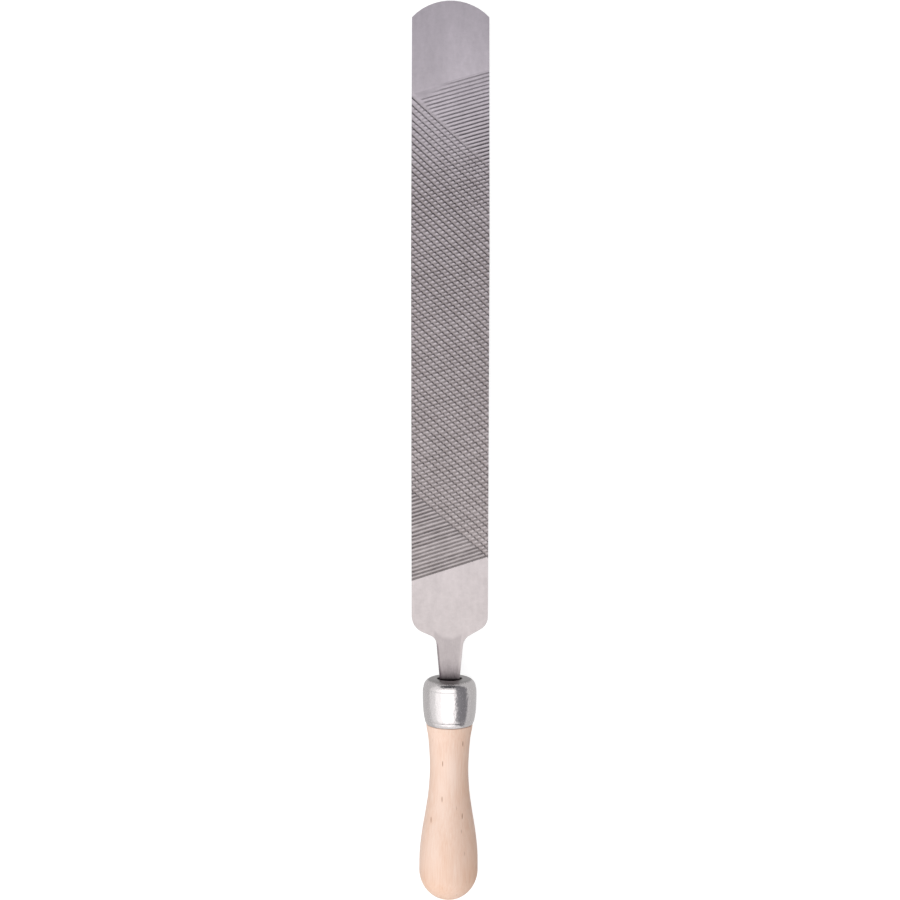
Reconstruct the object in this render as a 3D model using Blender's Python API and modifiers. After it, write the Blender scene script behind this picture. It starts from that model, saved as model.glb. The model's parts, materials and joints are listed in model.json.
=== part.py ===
"""A flat file, built as it would come apart on a bench: a steel blade with its tang, a steel
ferrule and a turned wooden handle.

The tool is modelled along its own axis first. +Y runs from the butt of the handle to the tip of
the blade, +X across the blade and +Z out of its front face, and the middle of the overall length
is at zero. An empty then lays the tool down as it comes to rest, on the bulge of its ferrule and
the lower edge of its tip. Lengths are in metres, written as millimetres times MM.
"""

import math

import bmesh
import bpy
from mathutils import Vector

MM = 0.001

# Driving dimensions.
OVERALL_LENGTH = 505.0 * MM
BLADE_THICKNESS = 5.6 * MM
GAP = 0.3 * MM                      # air left between pieces that are pressed together

TIP_Y = OVERALL_LENGTH / 2
BUTT_Y = -OVERALL_LENGTH / 2

# Blade: widths at the tip, at the widest place and at the heel.
TIP_ARC_RADIUS = 30.0 * MM
TIP_HALF_WIDTH = 21.75 * MM
TIP_CORNER_RADIUS = 0.6 * MM
TIP_ARC_SIDES = 13                  # odd, so that a straight side lies across the middle
WIDEST_HALF_WIDTH = 22.05 * MM
WIDEST_Y = 110.0 * MM
HEEL_HALF_WIDTH = 21.4 * MM
BLADE_EDGE_CHAMFER = 0.5 * MM

# Heel: each shoulder is ground by hand, so left and right differ a little.
LEFT_SHOULDER_Y = -99.8 * MM        # where the side and the sloping shoulder would meet
LEFT_SHOULDER_RADIUS = 10.0 * MM
LEFT_FILLET_Y = -105.6 * MM         # where the shoulder and the tang's side would meet
LEFT_FILLET_RADIUS = 5.0 * MM
RIGHT_SHOULDER_Y = -98.4 * MM
RIGHT_SHOULDER_RADIUS = 8.0 * MM
RIGHT_FILLET_Y = -106.1 * MM
RIGHT_FILLET_RADIUS = 7.5 * MM

# Tang: a straight taper in width and thickness, from the heel to a blunt point in the handle.
TANG_ROOT_Y = -106.0 * MM
TANG_ROOT_HALF_WIDTH = 7.75 * MM
TANG_POINT_Y = -172.0 * MM
TANG_POINT_HALF_WIDTH = 1.6 * MM
TANG_POINT_THICKNESS = 3.0 * MM
TANG_POINT_RADIUS = 1.2 * MM
TANG_EDGE_CHAMFER = 1.0 * MM

# Ferrule: a steel cup, open below, with a hole in its end for the tang.
FERRULE_TOP_Y = -128.7 * MM
FERRULE_HOLE_RADIUS = 7.1 * MM
FERRULE_SHOULDER_RADIUS = 4.0 * MM
FERRULE_SHOULDER_HALF_WIDTH = 14.8 * MM
FERRULE_WALL = 1.0 * MM

# Outer radius of the ferrule's side at places along the axis, from the shoulder to the lip.
FERRULE_SIDE = [
    (15.08 * MM, -134.6 * MM),
    (15.20 * MM, -137.4 * MM),
    (15.14 * MM, -141.6 * MM),
    (14.86 * MM, -146.4 * MM),
    (14.15 * MM, -150.9 * MM),
]
FERRULE_LIP = [
    (13.92 * MM, -151.9 * MM),
    (13.68 * MM, -153.0 * MM),
    (13.30 * MM, -153.9 * MM),
]

# Handle: radius at places along the axis, from the shoulder under the ferrule to the belly.
SHOULDER_RADIUS = 13.05 * MM
BELLY_RADIUS = 16.5 * MM
HANDLE_SIDE = [
    (12.80 * MM, -156.8 * MM),
    (11.70 * MM, -163.6 * MM),
    (10.83 * MM, -178.3 * MM),
    (11.50 * MM, -191.8 * MM),
    (13.10 * MM, -203.1 * MM),
    (15.00 * MM, -214.4 * MM),
    (16.26 * MM, -225.7 * MM),
]
SOCKET_DEPTH_PAST_POINT = 1.0 * MM
HANDLE_SKEW = math.radians(-0.3)    # the handle was driven on a touch askew, its butt to -X
HANDLE_PIVOT_Y = -140.0 * MM        # the place on the axis that it is askew about

ROUND_STEPS = 48                    # flat sides around the axis
ARC_STEP = math.radians(9)          # most turn between two points of an arc


def clear_scene():
    """Remove every object of the scene that the script starts in."""
    for existing in list(bpy.data.objects):
        bpy.data.objects.remove(existing, do_unlink=True)


def new_collection(name):
    """Return a new collection that hangs under the scene."""
    collection = bpy.data.collections.new(name)
    bpy.context.scene.collection.children.link(collection)
    return collection


def new_material(name, colour, roughness, metallic):
    """Return a Principled material."""
    material = bpy.data.materials.new(name)
    material.use_nodes = True
    shader = material.node_tree.nodes["Principled BSDF"]
    shader.inputs["Base Color"].default_value = (*colour, 1.0)
    shader.inputs["Roughness"].default_value = roughness
    shader.inputs["Metallic"].default_value = metallic
    return material


def arc(centre, radius, start, end, sides=None):
    """Return points on an arc in the plane, from one angle to another."""
    count = sides or max(2, math.ceil(abs(end - start) / ARC_STEP))
    points = []
    for i in range(count + 1):
        angle = start + (end - start) * i / count
        direction = Vector((math.cos(angle), math.sin(angle)))
        points.append(Vector(centre) + radius * direction)
    return points


def rounded_corner(before, corner, after, radius):
    """Return the arc that rounds off one corner of an outline, or the bare corner."""
    if radius == 0:
        return [Vector(corner)]
    corner = Vector(corner)
    towards_before = (Vector(before) - corner).normalized()
    towards_after = (Vector(after) - corner).normalized()
    half_angle = towards_before.angle(towards_after) / 2
    bisector = (towards_before + towards_after).normalized()
    centre = corner + bisector * radius / math.sin(half_angle)
    cut_back = radius / math.tan(half_angle)
    first = corner + towards_before * cut_back - centre
    last = corner + towards_after * cut_back - centre
    start = math.atan2(first.y, first.x)
    turn = math.atan2(first.cross(last), first.dot(last))
    return arc(centre, radius, start, start + turn)


def rounded_outline(corners):
    """Turn (x, y, radius) corners of a closed outline into its points."""
    points = []
    for i, (x, y, radius) in enumerate(corners):
        before = corners[i - 1][:2]
        after = corners[(i + 1) % len(corners)][:2]
        points += rounded_corner(before, (x, y), after, radius)
    return points


def tip_arc_corners():
    """Return the shallow arc across the tip, from the right corner to the left."""
    centre = (0.0, TIP_Y - TIP_ARC_RADIUS)
    half_angle = math.asin(TIP_HALF_WIDTH / TIP_ARC_RADIUS)
    start = math.pi / 2 - half_angle
    end = math.pi / 2 + half_angle
    points = arc(centre, TIP_ARC_RADIUS, start, end, TIP_ARC_SIDES)
    corners = [(point.x, point.y, 0.0) for point in points]
    for end in (0, -1):
        x, y, _ = corners[end]
        corners[end] = (x, y, TIP_CORNER_RADIUS)
    return corners


def blade_outline():
    """Return the outline of blade and tang, seen from the front, anticlockwise."""
    corners = [
        (HEEL_HALF_WIDTH, RIGHT_SHOULDER_Y, RIGHT_SHOULDER_RADIUS),
        (WIDEST_HALF_WIDTH, WIDEST_Y, 0.0),
    ]
    corners += tip_arc_corners()
    corners += [
        (-WIDEST_HALF_WIDTH, WIDEST_Y, 0.0),
        (-HEEL_HALF_WIDTH, LEFT_SHOULDER_Y, LEFT_SHOULDER_RADIUS),
        (-TANG_ROOT_HALF_WIDTH, LEFT_FILLET_Y, LEFT_FILLET_RADIUS),
        (-TANG_POINT_HALF_WIDTH, TANG_POINT_Y, TANG_POINT_RADIUS),
        (TANG_POINT_HALF_WIDTH, TANG_POINT_Y, TANG_POINT_RADIUS),
        (TANG_ROOT_HALF_WIDTH, RIGHT_FILLET_Y, RIGHT_FILLET_RADIUS),
    ]
    return rounded_outline(corners)


def flat_plate(name, outline, thickness, collection):
    """Extrude a flat outline to a closed mesh object, half its thickness each way."""
    curve = bpy.data.curves.new(name, "CURVE")
    curve.dimensions = "2D"
    curve.fill_mode = "BOTH"
    curve.extrude = thickness / 2
    spline = curve.splines.new("POLY")
    spline.points.add(len(outline) - 1)
    for spline_point, place in zip(spline.points, outline):
        spline_point.co = (place.x, place.y, 0.0, 1.0)
    spline.use_cyclic_u = True
    guide = bpy.data.objects.new(name + "_outline", curve)
    collection.objects.link(guide)
    evaluated = guide.evaluated_get(bpy.context.evaluated_depsgraph_get())
    mesh = bpy.data.meshes.new_from_object(evaluated)
    plate = bpy.data.objects.new(name, mesh)
    plate.matrix_world = guide.matrix_world
    collection.objects.link(plate)
    bpy.data.objects.remove(guide, do_unlink=True)
    return plate


def tang_half_thickness(y):
    """Return half the tang's thickness at a place along the axis."""
    share = (TANG_ROOT_Y - y) / (TANG_ROOT_Y - TANG_POINT_Y)
    return (BLADE_THICKNESS + (TANG_POINT_THICKNESS - BLADE_THICKNESS) * share) / 2


def tang_half_width(y):
    """Return half the tang's width at a place along the axis."""
    share = (TANG_ROOT_Y - y) / (TANG_ROOT_Y - TANG_POINT_Y)
    return TANG_ROOT_HALF_WIDTH + (TANG_POINT_HALF_WIDTH - TANG_ROOT_HALF_WIDTH) * share


def build_blade(collection, material):
    """Model blade and tang as one plate whose tang is drawn down to a point."""
    blade = flat_plate("file_blade", blade_outline(), BLADE_THICKNESS, collection)
    blade.data.materials.append(material)

    body = bmesh.new()
    body.from_mesh(blade.data)
    bmesh.ops.remove_doubles(body, verts=body.verts, dist=0.01 * MM)
    bmesh.ops.dissolve_limit(
        body, angle_limit=math.radians(0.05), verts=body.verts, edges=body.edges, delimit=set()
    )
    everything = body.verts[:] + body.edges[:] + body.faces[:]
    bmesh.ops.bisect_plane(
        body, geom=everything, plane_co=(0, TANG_ROOT_Y, 0), plane_no=(0, 1, 0), dist=0.001 * MM
    )
    for vert in body.verts:
        if vert.co.y < TANG_ROOT_Y:
            vert.co.z = math.copysign(tang_half_thickness(vert.co.y), vert.co.z)

    # The long edges of both faces are chamfered, the tang's more than the blade's.
    weight = body.edges.layers.float.new("bevel_weight_edge")
    for edge in body.edges:
        if len(edge.link_faces) == 2 and edge.calc_face_angle() > math.radians(60):
            on_tang = max(vert.co.y for vert in edge.verts) < TANG_ROOT_Y
            chamfer = TANG_EDGE_CHAMFER if on_tang else BLADE_EDGE_CHAMFER
            edge[weight] = chamfer / TANG_EDGE_CHAMFER
    body.to_mesh(blade.data)
    body.free()

    bevel = blade.modifiers.new("edge_chamfer", "BEVEL")
    bevel.limit_method = "WEIGHT"
    bevel.width = TANG_EDGE_CHAMFER
    bevel.segments = 1
    return blade


def smooth_through(stations, per_span):
    """Return a smooth (radius, y) profile through the stations."""
    points = []
    last = len(stations) - 1
    for i in range(last):
        before = Vector(stations[max(i - 1, 0)])
        start = Vector(stations[i])
        end = Vector(stations[i + 1])
        after = Vector(stations[min(i + 2, last)])
        for k in range(per_span):
            t = k / per_span
            blend = (
                2 * start
                + (end - before) * t
                + (2 * before - 5 * start + 4 * end - after) * t ** 2
                + (3 * start - before - 3 * end + after) * t ** 3
            )
            points.append(blend / 2)
    points.append(Vector(stations[-1]))
    return points


def ferrule_profile():
    """Return the ferrule's outer side, from the rim of its hole down to its lip."""
    shoulder_centre = (
        FERRULE_SHOULDER_HALF_WIDTH - FERRULE_SHOULDER_RADIUS,
        FERRULE_TOP_Y - FERRULE_SHOULDER_RADIUS,
    )
    shoulder = arc(shoulder_centre, FERRULE_SHOULDER_RADIUS, math.pi / 2, 0.0)
    side_and_lip = [Vector(station) for station in FERRULE_SIDE + FERRULE_LIP]
    return [Vector((FERRULE_HOLE_RADIUS, FERRULE_TOP_Y))] + shoulder + side_and_lip


def offset_inward(profile, distance):
    """Move a turned profile towards the axis and away from its end, by its own normals."""
    moved = []
    for i, point in enumerate(profile):
        along = profile[min(i + 1, len(profile) - 1)] - profile[max(i - 1, 0)]
        inward = Vector((along.y, -along.x)).normalized()
        moved.append(point + inward * distance)
    return moved


def turned(name, profile, closed, collection, material):
    """Turn a (radius, y) profile about the Y axis with a Screw modifier.

    The flat sides touch the true radius, and one of them faces straight down.
    """
    mesh = bpy.data.meshes.new(name)
    ring = bmesh.new()
    half_step = math.pi / ROUND_STEPS
    verts = []
    for point in profile:
        across = point.x
        back = point.x * math.tan(half_step)
        verts.append(ring.verts.new((across, point.y, back)))
    for first, second in zip(verts, verts[1:]):
        ring.edges.new((first, second))
    if closed:
        ring.edges.new((verts[-1], verts[0]))
    ring.to_mesh(mesh)
    ring.free()
    mesh.materials.append(material)
    piece = bpy.data.objects.new(name, mesh)
    collection.objects.link(piece)
    screw = piece.modifiers.new("turn", "SCREW")
    screw.axis = "Y"
    screw.steps = ROUND_STEPS
    screw.render_steps = ROUND_STEPS
    screw.use_merge_vertices = True
    screw.merge_threshold = 0.01 * MM
    screw.use_smooth_shade = True
    return piece


def build_ferrule(collection, material):
    """Turn the ferrule's section: down the outside, back up the inside of the sheet."""
    outside = ferrule_profile()
    inside = offset_inward(outside[1:], FERRULE_WALL)
    inner_rim = Vector((FERRULE_HOLE_RADIUS, FERRULE_TOP_Y - FERRULE_WALL))
    section = outside + inside[::-1] + [inner_rim]
    return turned("ferrule", section, True, collection, material)


def handle_profile():
    """Return the handle's outer side, from the end of its spigot to the middle of its butt."""
    spigot = offset_inward(ferrule_profile()[1:], FERRULE_WALL + GAP)
    end_y = FERRULE_TOP_Y - FERRULE_WALL - GAP
    lip_y = FERRULE_LIP[-1][1]
    foot = Vector((spigot[-1].x, lip_y - GAP))
    shoulder = Vector((SHOULDER_RADIUS, lip_y - GAP))
    dome_centre_y = BUTT_Y + BELLY_RADIUS
    side = smooth_through([shoulder[:], *HANDLE_SIDE, (BELLY_RADIUS, dome_centre_y)], 3)
    dome = arc((0.0, dome_centre_y), BELLY_RADIUS, 0.0, -math.pi / 2)
    spigot_end = Vector((0.0, end_y))
    butt = Vector((0.0, BUTT_Y))
    return [spigot_end] + spigot[:-1] + [foot] + side + dome[1:-1] + [butt]


def build_socket_cutter(collection):
    """Model the tapered hole for the tang as a block a gap larger than the tang all round."""
    mouth_y = FERRULE_TOP_Y
    floor_y = TANG_POINT_Y - SOCKET_DEPTH_PAST_POINT
    mesh = bpy.data.meshes.new("tang_socket")
    block = bmesh.new()
    bmesh.ops.create_cube(block, size=2.0)
    for vert in block.verts:
        y = mouth_y if vert.co.y > 0 else floor_y
        x = tang_half_width(y) + GAP
        z = tang_half_thickness(y) + GAP
        vert.co = (math.copysign(x, vert.co.x), y, math.copysign(z, vert.co.z))
    block.to_mesh(mesh)
    block.free()
    cutter = bpy.data.objects.new("tang_socket", mesh)
    collection.objects.link(cutter)
    cutter.hide_render = True
    cutter.display_type = "WIRE"
    return cutter


def build_handle(collection, cutters, material):
    """Turn the handle and bore the socket that takes the tang."""
    handle = turned("handle", handle_profile(), False, collection, material)
    bore = handle.modifiers.new("tang_socket", "BOOLEAN")
    bore.operation = "DIFFERENCE"
    bore.solver = "EXACT"
    bore.object = build_socket_cutter(cutters)
    return handle


def set_askew(handle):
    """Turn the handle a little about the middle of its spigot."""
    pivot = Vector((0.0, HANDLE_PIVOT_Y, 0.0))
    handle.rotation_euler.z = HANDLE_SKEW
    handle.location = pivot - handle.rotation_euler.to_matrix() @ pivot


def world_points(piece):
    """Return the places of a piece's evaluated mesh points in the world."""
    evaluated = piece.evaluated_get(bpy.context.evaluated_depsgraph_get())
    return [evaluated.matrix_world @ vert.co for vert in evaluated.data.vertices]


def lay_at_rest(frame, blade, ferrule, handle):
    """Tilt the tool until tip and ferrule reach equally low, and put that level at zero.

    The blade is the heaviest piece, so the tool leans forward on the ferrule's bulge, and the
    belly of the handle stays just clear of the bench.
    """
    for _ in range(6):
        bpy.context.view_layer.update()
        low_tip = min(world_points(blade), key=lambda point: point.z)
        low_bulge = min(world_points(ferrule), key=lambda point: point.z)
        rise = low_tip.z - low_bulge.z
        frame.rotation_euler.x -= math.atan2(rise, low_tip.y - low_bulge.y)
    bpy.context.view_layer.update()
    points = world_points(blade) + world_points(ferrule) + world_points(handle)
    middle_y = (min(point.y for point in points) + max(point.y for point in points)) / 2
    lowest_z = min(point.z for point in points)
    frame.location = (0.0, -middle_y, -lowest_z)
    bpy.context.view_layer.update()


def main():
    clear_scene()
    pieces = new_collection("flat_file")
    cutters = new_collection("cutters")

    blade_steel = new_material("file_steel", (0.55, 0.52, 0.52), 0.42, 1.0)
    ferrule_steel = new_material("polished_steel", (0.72, 0.70, 0.70), 0.15, 1.0)
    beech = new_material("beech", (0.80, 0.56, 0.40), 0.55, 0.0)

    blade = build_blade(pieces, blade_steel)
    ferrule = build_ferrule(pieces, ferrule_steel)
    handle = build_handle(pieces, cutters, beech)
    set_askew(handle)

    tool_axis = bpy.data.objects.new("tool_axis", None)
    pieces.objects.link(tool_axis)
    for piece in (blade, ferrule, handle):
        piece.parent = tool_axis
    bpy.data.objects["tang_socket"].parent = tool_axis
    lay_at_rest(tool_axis, blade, ferrule, handle)


main()
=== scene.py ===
# %% [markdown]
# # A flat file, piece by piece
#
# A hand file is three pieces driven together: a steel blade whose tang runs into the handle, a
# steel ferrule that keeps the wood from splitting, and a turned beech handle. Each is modelled
# here as it is made: the blade is cut from its blank by rows of chisel strokes, the ferrule is
# drawn out ring by ring, and the handle is turned.
#
# Everything is drawn in millimetres on the tool's own axes: +Y from butt to tip, +X across the
# blade, +Z out of its front face, zero at mid-length. The file lies on a bench, a little nose
# down, and could be drawn in that pose, but then no station of its profile would be a round
# number. So each piece is drawn straight and is moved into the pose at the end, inside its mesh.

# %% Load the frame
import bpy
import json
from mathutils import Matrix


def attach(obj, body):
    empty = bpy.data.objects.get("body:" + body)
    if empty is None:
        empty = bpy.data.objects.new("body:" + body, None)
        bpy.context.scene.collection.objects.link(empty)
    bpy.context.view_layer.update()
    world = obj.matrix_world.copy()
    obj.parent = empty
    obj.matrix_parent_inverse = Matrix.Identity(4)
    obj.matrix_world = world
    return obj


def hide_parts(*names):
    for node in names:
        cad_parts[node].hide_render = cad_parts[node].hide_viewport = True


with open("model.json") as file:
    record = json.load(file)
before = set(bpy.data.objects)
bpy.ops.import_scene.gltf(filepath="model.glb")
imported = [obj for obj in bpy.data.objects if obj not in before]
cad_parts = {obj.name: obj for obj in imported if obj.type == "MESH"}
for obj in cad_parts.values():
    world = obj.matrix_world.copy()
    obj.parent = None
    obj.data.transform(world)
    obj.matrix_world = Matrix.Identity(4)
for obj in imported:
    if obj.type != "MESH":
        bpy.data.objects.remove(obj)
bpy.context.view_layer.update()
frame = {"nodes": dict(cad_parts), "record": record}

import json
import math

import bmesh
import bpy
import numpy as np
from mathutils import Matrix, Vector, noise

# %% [markdown]
# ## The tool's axes
#
# Two flat faces of the plain heel are named in the frame's record, back to back. Their normal
# gives the way that the blade faces, the point between them lies on the tool's axis, and the
# handle's end gives the place along it. The pose could also be typed in as an angle and a
# height, but read from the frame it can't disagree with it. One matrix then takes a drawing in
# millimetres to its place on the bench in metres.

# %% Find the tool's axes in the frame
OVERALL_LENGTH = 505.0
MILLIMETRE = 0.001

mounts = {mount["name"]: mount for mount in frame["record"]["mounts"]}
up = Vector(mounts["heel_front_face"]["axis"]).normalized()
across = Vector((1, 0, 0))
along = up.cross(across)
on_axis = (
    Vector(mounts["heel_front_face"]["pos_m"]) + Vector(mounts["heel_back_face"]["pos_m"])
) / 2
butt = min(along.dot(vert.co) for vert in frame["nodes"]["handle"].data.vertices)
middle = on_axis + along * (butt + OVERALL_LENGTH / 2 * MILLIMETRE - along.dot(on_axis))

tool_to_bench = Matrix.Translation(middle) @ Matrix((across, along, up)).transposed().to_4x4()
drawing_to_bench = tool_to_bench @ Matrix.Scale(MILLIMETRE, 4)
tilt = math.asin(along.z)
print("middle of the tool", tuple(middle), "tilt", round(math.degrees(tilt), 3), "degrees")

# %% [markdown]
# ## Working by hand
#
# An operator acts on whatever is selected, so each step first takes one piece in hand. These
# few helpers do what a modeller does between two steps: pick a piece up, go into edit mode,
# pick faces by their place, slice, and put the piece down.


# %% Take one piece in hand
ON_PLANE = 1e-5             # a point this close to a cut counts as lying in it


def take(piece):
    """Select one piece alone and make it the active one."""
    bpy.ops.object.select_all(action="DESELECT")
    piece.select_set(True)
    bpy.context.view_layer.objects.active = piece


def open_up(piece):
    """Take a piece into edit mode with nothing selected."""
    take(piece)
    bpy.ops.object.mode_set(mode="EDIT")
    bpy.ops.mesh.select_mode(type="FACE")
    bpy.ops.mesh.reveal(select=False)
    bpy.ops.mesh.select_all(action="DESELECT")


def put_down():
    """Leave edit mode."""
    bpy.ops.object.mode_set(mode="OBJECT")


def pick_faces(piece, wanted):
    """In edit mode, select the faces that pass a test."""
    mesh = bmesh.from_edit_mesh(piece.data)
    for face in mesh.faces:
        face.select_set(wanted(face))
    bmesh.update_edit_mesh(piece.data)


def slice_all(point, normal, **sides):
    """In edit mode, bisect all that isn't hidden with a plane."""
    bpy.ops.mesh.select_all(action="SELECT")
    bpy.ops.mesh.bisect(plane_co=point, plane_no=normal, threshold=ON_PLANE, **sides)


def copy_of(piece, name):
    """Return a copy with its own mesh."""
    twin = piece.copy()
    twin.data = piece.data.copy()
    twin.name = name
    bpy.context.collection.objects.link(twin)
    return twin


def open_edges(piece):
    """Count edges that don't join exactly two faces: none on a closed body."""
    mesh = bmesh.new()
    mesh.from_mesh(piece.data)
    count = sum(1 for edge in mesh.edges if len(edge.link_faces) != 2)
    mesh.free()
    return count


# %% [markdown]
# ## The blank
#
# A file starts as a forged and ground blank, and only then are the teeth cut. The blank could be
# drawn again here, but the frame already holds it with its outline, thickness and chamfers, so
# the drawing starts from a copy of it. The copy's stored normals are cleared, because they are
# for the smooth blank, its loose triangles are merged, and triangles that lie in one plane are
# dissolved into the flat face that they came from, ready to be sliced.
#
# Only the front half of the toothed length is worked on. The plain heel stays as it is, and the
# back half will be the front half turned over.

# %% Copy the blank and clean it
SAME_POINT = 0.002
SAME_PLANE = math.radians(0.1)

blank = bpy.data.objects.new("blank", frame["nodes"]["file_blade"].data.copy())
bpy.context.collection.objects.link(blank)
blank.data.transform(drawing_to_bench.inverted())
blank.data.materials.clear()

take(blank)
bpy.ops.mesh.customdata_custom_splitnormals_clear()
open_up(blank)
bpy.ops.mesh.select_all(action="SELECT")
bpy.ops.mesh.remove_doubles(threshold=SAME_POINT)
bpy.ops.mesh.dissolve_limited(angle_limit=SAME_PLANE)
slice_all((0, 0, 0), (0, 0, 1))
put_down()
print("blank:", len(blank.data.polygons), "faces,", open_edges(blank), "open edges")

# %% Part the blank into its plain heel and the front half of its toothed length
CUT_END_Y = -78.0           # all the teeth are beyond this section

heel = copy_of(blank, "heel")
open_up(heel)
slice_all((0, CUT_END_Y, 0), (0, 1, 0), clear_outer=True)
put_down()

front = copy_of(blank, "front")
open_up(front)
slice_all((0, CUT_END_Y, 0), (0, 1, 0), clear_inner=True)
slice_all((0, 0, 0), (0, 0, 1), clear_inner=True)
put_down()
bpy.data.objects.remove(blank)
print("heel:", len(heel.data.polygons), "faces; front half:", len(front.data.polygons), "faces")

# %% [markdown]
# ## Teeth on the narrow edges
#
# The two long narrow edges carry a single row of plain slanting teeth. They could be left to a
# bump in the finish, but they notch the outline of the blade, and only real geometry shows
# there. On the half blank each edge is one flat face, so it is sliced along the bottom and the
# crest of every tooth, and then the bottoms are pushed in. Left and right lean opposite ways,
# because the back half of the blade will be this half turned over, and its teeth have to run on
# from these.

# %% Slice the narrow edges
EDGE_PITCH = 2.0
EDGE_LEAN = math.radians(22)
EDGE_TEETH_FROM = -70.0
EDGE_TEETH_TO = 236.0
EDGE_DEPTH = 0.22
EDGE_CREST = 0.65           # how far up its pitch a tooth rises before it drops


def edge_rows():
    """Return where each narrow-edge tooth has its bottom and its crest."""
    count = int((EDGE_TEETH_TO - EDGE_TEETH_FROM) / EDGE_PITCH)
    return [EDGE_TEETH_FROM + EDGE_PITCH * i for i in range(count)]


for side in (1, -1):
    open_up(front)
    pick_faces(front, lambda face: face.normal.x * side < 0.9)
    bpy.ops.mesh.hide(unselected=False)
    lean = (0, math.cos(EDGE_LEAN), side * math.sin(EDGE_LEAN))
    for bottom in edge_rows():
        slice_all((0, bottom, 0), lean)
        slice_all((0, bottom + EDGE_PITCH * EDGE_CREST, 0), lean)
    put_down()

# %% Push the bottoms in
NARROW_EDGE_X = 21.0        # what lies farther out than this belongs to a narrow edge
BELOW_FACE_Z = 2.5          # between the chamfer's lower rim and the face
ROW_SLACK = 0.01            # how far from a whole row a point may be, as a share of the pitch

for vert in front.data.vertices:
    side = math.copysign(1, vert.co.x)
    row = (vert.co.y + side * math.tan(EDGE_LEAN) * vert.co.z - EDGE_TEETH_FROM) / EDGE_PITCH
    on_narrow_edge = abs(vert.co.x) > NARROW_EDGE_X and vert.co.z < BELOW_FACE_Z
    in_rows = -ROW_SLACK < row < len(edge_rows())
    if on_narrow_edge and in_rows and abs(row - round(row)) < ROW_SLACK:
        vert.co.x -= side * EDGE_DEPTH
print("front half with edge teeth:", len(front.data.polygons), "faces")

# %% [markdown]
# ## Double-cut teeth on the face
#
# Both sets of teeth on the face are rows of chisel strokes. The overcut comes first, widely
# spaced and steep across the blade, and the upcut crosses it, closer and nearly square to the
# blade. A stroke leaves a groove whose wall towards the handle is steep and whose far side
# rises slowly to the next crest, so every tooth leans towards the tip and cuts on the push
# stroke. The strokes fan out slightly and no two are alike.
#
# The teeth could be a bump in the finish, or thousands of copies of one tooth. A bump stays flat
# when seen from the side, and copies are all alike and don't join into one body. So the strokes
# are made as a chisel makes them. A stroke is two slices: one along the bottom of its groove
# and one along the crest. The overcut gets a third, low on its long slope, which keeps the
# bottom of its groove narrow where the upcut crosses it. Where both sets of slices cross there
# is a point at each corner of every tooth, and sinking those points by the deeper of the two
# cuts gives the small leaning pyramids of a real file. Both sets run out shallow at the tip,
# and the overcut starts a little shallow at the heel too.

# %% The two sets of strokes
STAGES = (0.0, 0.15, 0.78, 0.90, 1.0)   # shares of the way from the first stroke to the last
UPCUT_DEPTH = (0.45, 0.46, 0.42, 0.26, 0.12)
OVERCUT_DEPTH = (0.36, 0.43, 0.47, 0.38, 0.28)
DEEPEST = 0.47              # the deepest of these, to which the finish compares a groove
LIGHTEST_BLOW = 0.88        # no stroke is shallower than this share of its full depth
SLOPE_WANDER = 0.0012
ON_LINE = 1e-4              # a point this close to a stroke's line counts as on it

chance = np.random.default_rng(14)


class Strokes:
    """One set of chisel strokes, counted from the heel to the tip."""

    def __init__(self, count, heel, tip, depth, crest, wander):
        """Lay out the strokes.

        Heel and tip are the first and the last stroke's (height on the middle line, slope
        across the blade). Depth is what it is at each of the stages. Crest is the share of the
        way to the next stroke at which the slope from the groove reaches its top. Wander is
        how far a stroke strays from even spacing.
        """
        share = np.linspace(0, 1, count)
        middle = heel[0] + (tip[0] - heel[0]) * share + chance.normal(0, wander, count)
        slope = heel[1] + (tip[1] - heel[1]) * share + chance.normal(0, SLOPE_WANDER, count)
        depth = np.interp(share, STAGES, depth) * chance.uniform(LIGHTEST_BLOW, 1.0, count)
        # One stroke with no depth beyond each end closes off the first and the last tooth.
        before = 2 * middle[0] - middle[1]
        after = 2 * middle[-1] - middle[-2]
        self.middle = np.concatenate(([before], middle, [after]))
        self.slope = np.concatenate(([slope[0]], slope, [slope[-1]]))
        self.depth = np.concatenate(([0], depth, [0]))
        self.crest = crest

    def lines(self, share):
        """Return (middle, slope) at a share of the way from each stroke to the next."""
        middle = self.middle[:-1] + share * np.diff(self.middle)
        slope = self.slope[:-1] + share * np.diff(self.slope)
        return list(zip(middle, slope))

    def depth_at(self, stroke, x):
        """Return how deep a stroke is at a place across the blade."""
        return self.depth[stroke]

    def sunk(self, x, y):
        """Return how far this set of strokes sinks the face at each place."""
        lines = self.middle[None, :] + x[:, None] * self.slope[None, :]
        stroke = (lines <= y[:, None] + ON_LINE).sum(axis=1) - 1
        inside = (stroke >= 0) & (stroke < len(self.middle) - 1)
        stroke = np.clip(stroke, 0, len(self.middle) - 2)
        place = np.arange(len(x))
        bottom = lines[place, stroke]
        share = (y - bottom) / (lines[place, stroke + 1] - bottom)
        rising = self.depth_at(stroke, x) * (1 - share / self.crest)
        dropping = self.depth_at(stroke + 1, x) * (share - self.crest) / (1 - self.crest)
        return np.where(inside, np.where(share < self.crest, rising, dropping), 0.0)


class FadingStrokes(Strokes):
    """The last strokes at the tip fade out before they reach the left edge."""

    FADE_ENDS = (-6.0, -13.0, -20.0)        # where each is gone, from the last stroke back
    FADE_LENGTH = 9.0

    def depth_at(self, stroke, x):
        """Return how deep a stroke is at a place across the blade, less its fading."""
        depth = self.depth[stroke]
        for back, end in enumerate(self.FADE_ENDS):
            left = np.clip((x - end) / self.FADE_LENGTH, 0, 1)
            depth = np.where(stroke == len(self.depth) - 2 - back, depth * left, depth)
        return depth


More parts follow.
